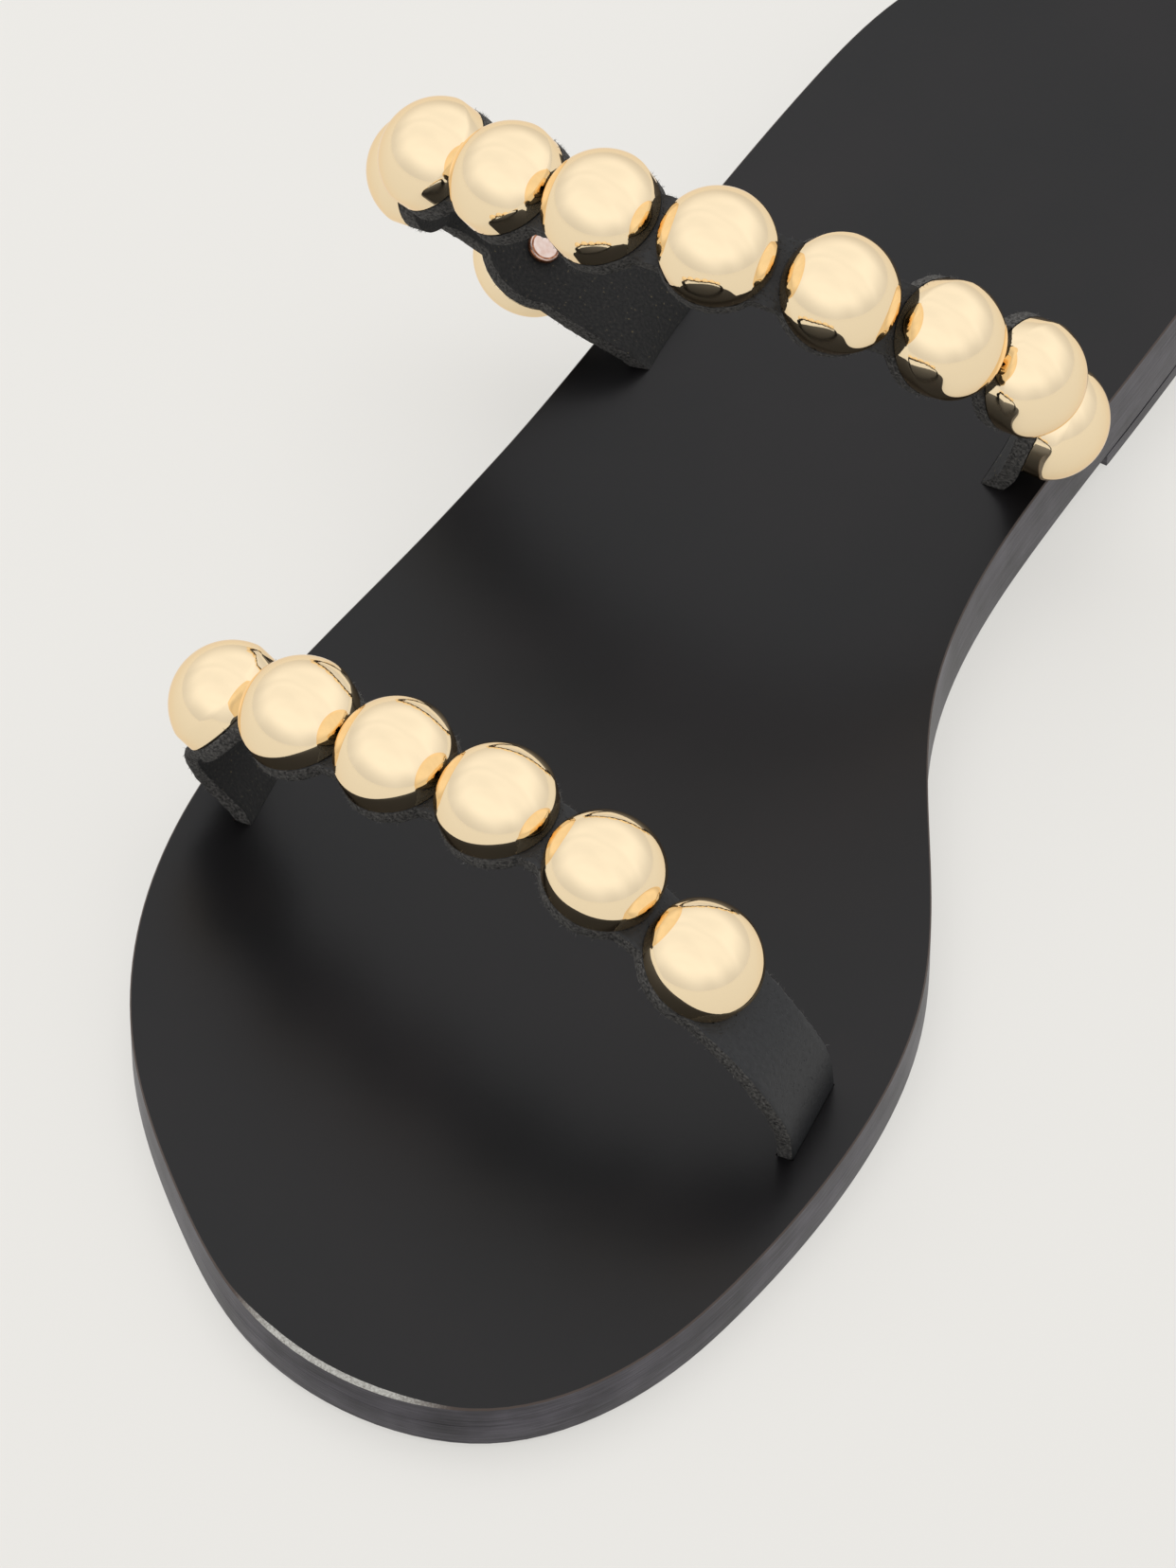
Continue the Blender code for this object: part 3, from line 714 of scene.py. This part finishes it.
bpy.ops.object.select_all(action="DESELECT")
bpy.ops.mesh.primitive_cone_add(
    vertices=3, radius1=FIBRE_THICK / 2 * MM, radius2=0.0, depth=MM, location=(0.0, 0.0, MM / 2))
fibre = bpy.context.object
bpy.ops.object.transform_apply(location=True, rotation=True, scale=True)
bpy.ops.object.mode_set(mode="EDIT")
bpy.ops.mesh.select_all(action="SELECT")
bpy.ops.mesh.bisect(plane_co=(0.0, 0.0, MM / 2), plane_no=(0.0, 0.0, 1.0))
bpy.ops.object.mode_set(mode="OBJECT")
for vert in fibre.data.vertices:
    vert.co.x += FIBRE_CURL * vert.co.z ** 2 / MM

# Leather fibre with the dye rubbed off it: dull greys, paler than the strap, from hair to hair.
loose_fibre, tree, shader = new_surface("loose_leather_fibre")
place = add_node(tree, "ShaderNodeTexCoord", {}).outputs["Object"]
highlight_and_rubbed_tone = add_node(
    tree, "ShaderNodeTexNoise", {"Vector": place, "Scale": 1 / (0.5 * MM), "Detail": 2.0}).outputs["Fac"]
fibre_tone = add_node(tree, "ShaderNodeValToRGB", {"Fac": highlight_and_rubbed_tone})
fibre_tone.color_ramp.elements[0].position = 0.35
fibre_tone.color_ramp.elements[0].color = hex_colour("#1d1c1b")
fibre_tone.color_ramp.elements[1].position = 0.70
fibre_tone.color_ramp.elements[1].color = hex_colour("#6c6a67")
tree.links.new(fibre_tone.outputs["Color"], shader.inputs["Base Color"])
shader.inputs["Roughness"].default_value = 0.85

chance = random.Random(12)
for strap in (FRONT_STRAP, REAR_STRAP):
    point = strap_path(strap)
    strewn = []
    for along in np.arange(SLOT_REACH, strap.bends[-1].along - SLOT_REACH, FIBRE_STEP):
        at = point(along)
        side = chance.choice((-1, 1))
        clump = noise.noise(Vector((along / CLUMP_LONG, CLUMP_APART * side, 0.0)))
        if chance.random() > FIBRE_SHARE + CLUMP_SHARE * clump:
            continue
        rim = at.across * side
        root = at.place + rim * (half_width(strap, along) - ROOT_DEPTH)
        root = root + at.out * chance.uniform(-ROOT_SPREAD, ROOT_SPREAD)
        lean = rim + at.forward * chance.uniform(-LEAN_ALONG, LEAN_ALONG)
        lean = lean + at.out * chance.uniform(-LEAN_OUT, LEAN_OUT)
        roll = Quaternion((0.0, 0.0, 1.0), chance.uniform(0.0, math.tau))
        turn = lean.to_track_quat("Z", "Y") @ roll
        length = chance.uniform(*FIBRE_LONG)
        hair = bpy.data.objects.new("fibre", fibre.data.copy())
        hair.data.transform(Matrix.LocRotScale(model_place(*root), turn, (1.0, 1.0, length)))
        bpy.context.collection.objects.link(hair)
        strewn.append(hair)
    bpy.ops.object.select_all(action="DESELECT")
    for hair in strewn:
        hair.select_set(True)
    fuzz = strewn[0]
    bpy.context.view_layer.objects.active = fuzz
    bpy.ops.object.join()
    fuzz.name = strap.name + "_edge_fibres"
    fuzz.data.name = fuzz.name
    fuzz.data.materials.append(loose_fibre)
    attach(fuzz, "root")
bpy.data.objects.remove(fibre, do_unlink=True)

# Dome studs
# Thin brass caps, pressed in one stroke to a shallow dome on a straight skirt, then polished and plated
# a pale gold. They sit edge to edge along the straps, each one holding its post.
STUD_DIAMETER = 14.0
STUD_SEAT = 0.05
STUD_SKIRT = 2.45
STUD_CROWN = 5.1
STUD_WALL = 0.7
STUD_SHOULDER_ROUND = 0.3
STUD_RIM_ROUND = 0.2
STUD_SEGMENTS = 72
STUD_RINGS = 44
STUD_SMOOTH_ANGLE = math.radians(40)
STUD_BALL = (STUD_DIAMETER ** 2 / 4 + STUD_CROWN ** 2) / (2 * STUD_CROWN)
# Up the inside of the cap: each step's rise, and how much narrower it ends
STUD_INSIDE = ((STUD_SKIRT, 1.0), (2.2, 0.8), (1.6, 0.6))


def open_rim():
    """In edit mode, select the edges of the open rim."""
    bpy.ops.mesh.select_mode(type="EDGE")
    bpy.ops.mesh.select_all(action="DESELECT")
    bpy.ops.mesh.select_non_manifold(
        extend=False, use_wire=False, use_multi_face=False, use_non_contiguous=False)


def level_ring(piece, height):
    """In edit mode, select the edges that run round at one height."""
    select_edges(
        piece, lambda a, b: abs(a.z - height) < SAME_PLACE and abs(b.z - height) < SAME_PLACE
        and abs(a.xy.length - b.xy.length) < SAME_PLACE)


shoulder = (STUD_BALL - STUD_CROWN) * MM
bpy.ops.object.select_all(action="DESELECT")
bpy.ops.mesh.primitive_uv_sphere_add(
    segments=STUD_SEGMENTS, ring_count=STUD_RINGS, radius=STUD_BALL * MM)
stud = bpy.context.object
bpy.ops.object.mode_set(mode="EDIT")
bpy.ops.mesh.select_all(action="SELECT")
bpy.ops.mesh.bisect(plane_co=(0.0, 0.0, shoulder), plane_no=(0.0, 0.0, 1.0), clear_inner=True)
open_rim()
bpy.ops.mesh.extrude_region_move(TRANSFORM_OT_translate={"value": (0.0, 0.0, -STUD_SKIRT * MM)})
inward = 1 - 2 * STUD_WALL / STUD_DIAMETER
bpy.ops.mesh.extrude_region_move()
bpy.ops.transform.resize(value=(inward, inward, 1.0))
for rise, narrow in STUD_INSIDE:
    bpy.ops.mesh.extrude_region_move(TRANSFORM_OT_translate={"value": (0.0, 0.0, rise * MM)})
    bpy.ops.transform.resize(value=(narrow, narrow, 1.0))
bpy.ops.mesh.edge_face_add()
bpy.ops.mesh.select_all(action="SELECT")
bpy.ops.mesh.remove_doubles(threshold=0.00001)
for height, rounding in ((shoulder, STUD_SHOULDER_ROUND), (shoulder - STUD_SKIRT * MM, STUD_RIM_ROUND)):
    level_ring(stud, height)
    bpy.ops.mesh.bevel(offset=rounding * MM, segments=3, profile=0.5, affect="EDGES")
bpy.ops.object.mode_set(mode="OBJECT")
bpy.ops.object.shade_smooth_by_angle(angle=STUD_SMOOTH_ANGLE)

# Pale gold plate over polished brass: a mirror, cream where it shows the white room and orange where one
# stud is seen in the next. The press leaves the curve very slightly uneven, so reflections wander.
gold, tree, shader = new_surface("polished_pale_gold_plate")
shader.inputs["Base Color"].default_value = hex_colour("#fae5c0")
shader.inputs["Metallic"].default_value = 1.0
shader.inputs["Specular Tint"].default_value = hex_colour("#fff0dc")
place = add_node(tree, "ShaderNodeTexCoord", {}).outputs["Object"]
wander = add_node(
    tree, "ShaderNodeTexNoise", {"Vector": place, "Scale": 1 / (7.0 * MM), "Detail": 1.0}).outputs["Fac"]
relief = add_node(tree, "ShaderNodeBump", {"Height": wander, "Strength": 0.06, "Distance": 0.5 * MM})
tree.links.new(relief.outputs["Normal"], shader.inputs["Normal"])
haze = add_node(
    tree, "ShaderNodeTexNoise", {"Vector": place, "Scale": 1 / (2.0 * MM), "Detail": 3.0}).outputs["Fac"]
polish = add_node(
    tree, "ShaderNodeMapRange", {"Value": haze, "To Min": 0.02, "To Max": 0.06}).outputs["Result"]
tree.links.new(polish, shader.inputs["Roughness"])


def stand_on_strap(at):
    """A turn and move that stands a piece on the strap, its own z pointing out of the leather."""
    turn = Matrix((at.forward, at.across, at.out)).transposed().to_4x4()
    return Matrix.Translation(model_place(*at.place)) @ turn


def copy_in_place(model, name, matrix, *finishes):
    """A copy with its own mesh, its place in the mesh and its object at the origin."""
    copy = bpy.data.objects.new(name, model.data.copy())
    copy.data.name = name
    bpy.context.collection.objects.link(copy)
    copy.data.transform(matrix)
    for finish in finishes:
        copy.data.materials.append(finish)
    return copy


for strap in (FRONT_STRAP, REAR_STRAP):
    point = strap_path(strap)
    for i, along in enumerate(stud_places(strap), start=1):
        lift = Matrix.Translation((0.0, 0.0, (STRAP_THICK / 2 + STUD_SEAT + STUD_SKIRT) * MM - shoulder))
        dome = copy_in_place(stud, f"{strap.name}_stud_{i}", stand_on_strap(point(along)) @ lift, gold)
        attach(dome, "root")
        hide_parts(f"{strap.name}_dome_{i}")
bpy.data.objects.remove(stud, do_unlink=True)

# Rivets
# Each stud's post is riveted over a small flat head on the flesh side of the strap.
RIVET_HEAD_DIAMETER = 4.0
RIVET_HEAD_THICK = 0.6
RIVET_SEAT = 0.3
RIVET_SIDES = 32
RIVET_EDGE_ROUND = 0.25
RIVET_RIM = 0.35
RIVET_DISH = 0.06
RIVET_SMOOTH_ANGLE = math.radians(35)
FACES_ALONG = 0.9
POST_DIAMETER = 2.0
POST_LENGTH = 3.0

bpy.ops.object.select_all(action="DESELECT")
bpy.ops.mesh.primitive_cylinder_add(
    vertices=RIVET_SIDES, radius=RIVET_HEAD_DIAMETER / 2 * MM, depth=RIVET_HEAD_THICK * MM,
    end_fill_type="NGON")
rivet = bpy.context.object
back = -RIVET_HEAD_THICK / 2 * MM
bpy.ops.object.mode_set(mode="EDIT")
select_edges(rivet, lambda a, b: abs(a.z - back) < SAME_PLACE and abs(b.z - back) < SAME_PLACE)
bpy.ops.mesh.bevel(offset=RIVET_EDGE_ROUND * MM, segments=3, profile=0.5, affect="EDGES")
bpy.ops.mesh.select_mode(type="FACE")
bpy.ops.mesh.select_all(action="DESELECT")
bpy.ops.object.mode_set(mode="OBJECT")
for face in rivet.data.polygons:
    face.select = face.normal.z > FACES_ALONG
bpy.ops.object.mode_set(mode="EDIT")
bpy.ops.mesh.inset(thickness=(RIVET_HEAD_DIAMETER - POST_DIAMETER) / 2 * MM)
bpy.ops.mesh.extrude_region_move(TRANSFORM_OT_translate={"value": (0.0, 0.0, POST_LENGTH * MM)})
bpy.ops.mesh.select_all(action="DESELECT")
bpy.ops.object.mode_set(mode="OBJECT")
for face in rivet.data.polygons:
    face.select = face.normal.z < -FACES_ALONG
bpy.ops.object.mode_set(mode="EDIT")
bpy.ops.mesh.inset(thickness=RIVET_RIM * MM, depth=RIVET_DISH * MM)
bpy.ops.object.mode_set(mode="OBJECT")
for face in rivet.data.polygons:
    face.material_index = 0 if face.normal.z < -FACES_ALONG else 1
bpy.ops.object.shade_smooth_by_angle(angle=RIVET_SMOOTH_ANGLE)

# Copper plated steel, brushed dull by handling: a pinkish silver middle and a warmer rim.
rivet_copper, tree, shader = new_surface("worn_copper_plate")
place = add_node(tree, "ShaderNodeTexCoord", {}).outputs["Object"]
highlight_and_wear = add_node(
    tree, "ShaderNodeTexNoise", {"Vector": place, "Scale": 1 / (0.8 * MM), "Detail": 3.0}).outputs["Fac"]
plate_colour = add_node(tree, "ShaderNodeValToRGB", {"Fac": highlight_and_wear})
plate_colour.color_ramp.elements[0].position = 0.35
plate_colour.color_ramp.elements[0].color = hex_colour("#d8bdb0")
plate_colour.color_ramp.elements[1].position = 0.7
plate_colour.color_ramp.elements[1].color = hex_colour("#e6d6ce")
tree.links.new(plate_colour.outputs["Color"], shader.inputs["Base Color"])
shader.inputs["Metallic"].default_value = 1.0
shader.inputs["Roughness"].default_value = 0.34

# Round the rim the copper is left unbrushed: redder, and darker in its pits.
rivet_rim, tree, shader = new_surface("unbrushed_copper_rim")
place = add_node(tree, "ShaderNodeTexCoord", {}).outputs["Object"]
pits = add_node(
    tree, "ShaderNodeTexNoise", {"Vector": place, "Scale": 1 / (0.4 * MM), "Detail": 2.0}).outputs["Fac"]
rim_colour = add_node(tree, "ShaderNodeValToRGB", {"Fac": pits})
rim_colour.color_ramp.elements[0].position = 0.35
rim_colour.color_ramp.elements[0].color = hex_colour("#8a5a42")
rim_colour.color_ramp.elements[1].position = 0.65
rim_colour.color_ramp.elements[1].color = hex_colour("#c98d6b")
tree.links.new(rim_colour.outputs["Color"], shader.inputs["Base Color"])
shader.inputs["Metallic"].default_value = 1.0
shader.inputs["Roughness"].default_value = 0.4

for strap in (FRONT_STRAP, REAR_STRAP):
    point = strap_path(strap)
    for i, along in enumerate(stud_places(strap), start=1):
        sunk = -(STRAP_THICK / 2 + RIVET_SEAT + RIVET_HEAD_THICK / 2) * MM
        matrix = stand_on_strap(point(along)) @ Matrix.Translation((0.0, 0.0, sunk))
        head = copy_in_place(rivet, f"{strap.name}_rivet_head_{i}", matrix, rivet_copper, rivet_rim)
        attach(head, "root")
        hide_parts(f"{strap.name}_rivet_{i}")
bpy.data.objects.remove(rivet, do_unlink=True)

# Studio
# A table of white acrylic, lit from below, stands in a white tent. The tent's walls fade down to nearly
# the table's own tone, so the studs show little horizon; its roof is brighter, with one broad lamp above.
TABLE_SIZE = 8.0
TABLE_DROP = 0.05
LAMP_PLACE = (-0.30, 0.12, 0.95)
LAMP_AIM = (-0.05, 0.0, 0.0)
LAMP_SIZE = 1.0
LAMP_POWER = 8.0

bpy.ops.object.select_all(action="DESELECT")
bpy.ops.mesh.primitive_plane_add(size=TABLE_SIZE, location=(0.0, 0.0, -TABLE_DROP * MM))
table = bpy.context.object
table.name = "pale_table"
table_paint, tree, shader = new_surface("lit_acrylic_table")
shader.inputs["Base Color"].default_value = hex_colour("#666563")
shader.inputs["Roughness"].default_value = 0.8
shader.inputs["Emission Color"].default_value = hex_colour("#fffdf8")
shader.inputs["Emission Strength"].default_value = 0.60
table.data.materials.append(table_paint)

scene = bpy.context.scene
scene.view_settings.view_transform = "Standard"
tent = bpy.data.worlds.new("white_tent")
tent.use_nodes = True
tree = tent.node_tree
direction = add_node(tree, "ShaderNodeTexCoord", {}).outputs["Generated"]
height = add_node(tree, "ShaderNodeSeparateXYZ", {"Vector": direction}).outputs["Z"]
brightness = add_node(
    tree, "ShaderNodeMapRange",
    {"Value": height, "From Min": 0.0, "From Max": 0.6, "To Min": 0.80, "To Max": 1.06},
    interpolation_type="SMOOTHSTEP").outputs["Result"]
hang = add_node(
    tree, "ShaderNodeMapping",
    {"Vector": direction, "Rotation": (0.0, 0.0, math.radians(35)), "Scale": (0.6, 2.2, 0.9)},
).outputs["Vector"]
folds = add_node(
    tree, "ShaderNodeTexNoise",
    {"Vector": hang, "Scale": 0.9, "Detail": 1.0, "Distortion": 0.4}).outputs["Fac"]
shade = add_node(
    tree, "ShaderNodeMapRange",
    {"Value": folds, "From Min": 0.3, "From Max": 0.7, "To Min": 0.94, "To Max": 1.05}).outputs["Result"]
strength = add_node(
    tree, "ShaderNodeMath", {0: brightness, 1: shade}, operation="MULTIPLY").outputs["Value"]
cloth = tree.nodes["Background"]
cloth.inputs["Color"].default_value = hex_colour("#fefeff")
tree.links.new(strength, cloth.inputs["Strength"])
scene.world = tent

lamp = bpy.data.lights.new("left_softbox", "AREA")
lamp.size = LAMP_SIZE
lamp.energy = LAMP_POWER
lamp_object = bpy.data.objects.new("left_softbox", lamp)
lamp_object.location = LAMP_PLACE
aim = Vector(LAMP_AIM) - lamp_object.location
lamp_object.rotation_euler = aim.to_track_quat("-Z", "Y").to_euler()
lamp_object.visible_glossy = False
scene.collection.objects.link(lamp_object)

# The camera looks down on the toe from the inner side, close enough to leave the heel's end out.
CAMERA_AZIMUTH = math.radians(30.5)
CAMERA_ELEVATION = math.radians(48.0)
CAMERA_DISTANCE = 1.2444
CAMERA_LENS = 246.5
SENSOR_WIDTH = 36.0
LOOK_FROM_TOE = 92.95
lens = bpy.data.cameras.new("camera")
lens.sensor_width = SENSOR_WIDTH
lens.lens = CAMERA_LENS
camera = bpy.data.objects.new("camera", lens)
back_line = Vector((
    math.sin(CAMERA_AZIMUTH) * math.cos(CAMERA_ELEVATION),
    -math.cos(CAMERA_AZIMUTH) * math.cos(CAMERA_ELEVATION),
    math.sin(CAMERA_ELEVATION)))
camera.location = model_place(0.0, LOOK_FROM_TOE, 0.0) + back_line * CAMERA_DISTANCE
camera.rotation_euler = back_line.to_track_quat("Z", "Y").to_euler()
scene.collection.objects.link(camera)
scene.camera = camera
